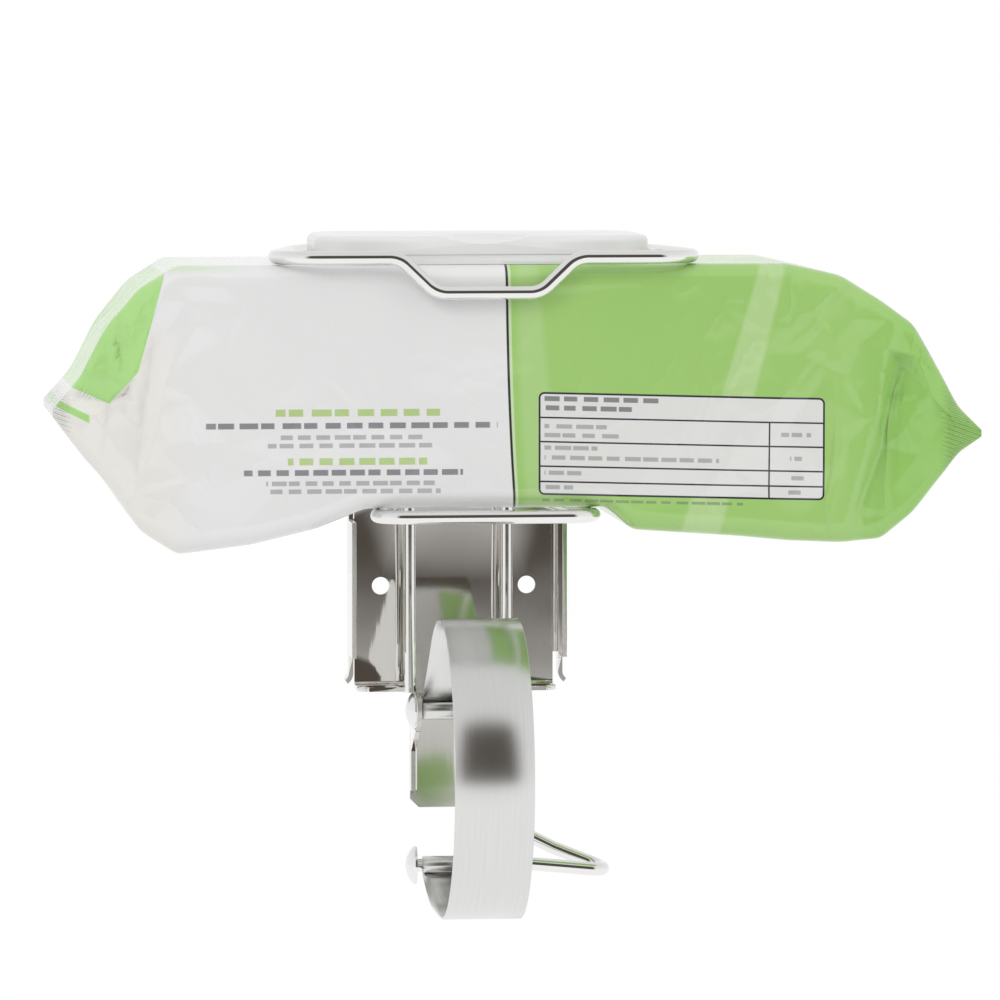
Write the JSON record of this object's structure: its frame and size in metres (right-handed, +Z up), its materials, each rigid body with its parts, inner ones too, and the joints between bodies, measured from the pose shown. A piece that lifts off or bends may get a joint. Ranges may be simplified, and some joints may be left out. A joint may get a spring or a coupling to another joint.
{
  "type": "wall-mounted wipes holder",
  "caption": "Wall holder of bent stainless sheet and wire for a soft pack of wipes, with a flip lid on the pack and a hinged strap clamp for a round rail below.",
  "frame": {"origin": "midway between the two wall screws, in the plane of the wall", "axes": "+X to the right, +Y into the wall, +Z up"},
  "size_m": [0.3055, 0.1346, 0.2262],
  "materials": {
    "polished_sheet": "mirror polished stainless sheet",
    "polished_wire": "polished stainless wire",
    "satin_strap": "satin, grain along the strap",
    "turned_steel": "polished",
    "pack_film": "glossy printed film, white and light green",
    "lid_moulding": "glossy white moulding",
    "label_film": "clear film label"
  },
  "bodies": {
    "holder": {"wall_plate": "polished_sheet", "left_upright": "polished_wire", "right_upright": "polished_wire", "upper_hoop": "polished_wire", "tray_loop": "polished_wire", "upper_pin": "turned_steel", "upper_pin_cap": "turned_steel", "wipes_pack": "pack_film", "lid_frame": "lid_moulding", "peel_label": "label_film"},
    "lid": {"lid_flap": "lid_moulding"},
    "strap": {"clamp_strap": "satin_strap"},
    "handle": {"pull_handle": "polished_wire", "handle_cap": "turned_steel"}
  },
  "joints": [
    {"name": "lid_hinge", "type": "hinge", "parent": "holder", "child": "lid", "pos_m": [0, -0.05025, 0.1165], "axis": [-1, 0, 0], "range_deg": [0, 100]},
    {"name": "strap_swing", "type": "hinge", "parent": "holder", "child": "strap", "pos_m": [0, -0.025, -0.0404], "axis": [-1, 0, 0], "range_deg": [0, 30]},
    {"name": "handle_turn", "type": "hinge", "parent": "strap", "child": "handle", "pos_m": [0, -0.025, -0.0931], "axis": [1, 0, 0], "range_deg": [0, 110]}
  ]
}
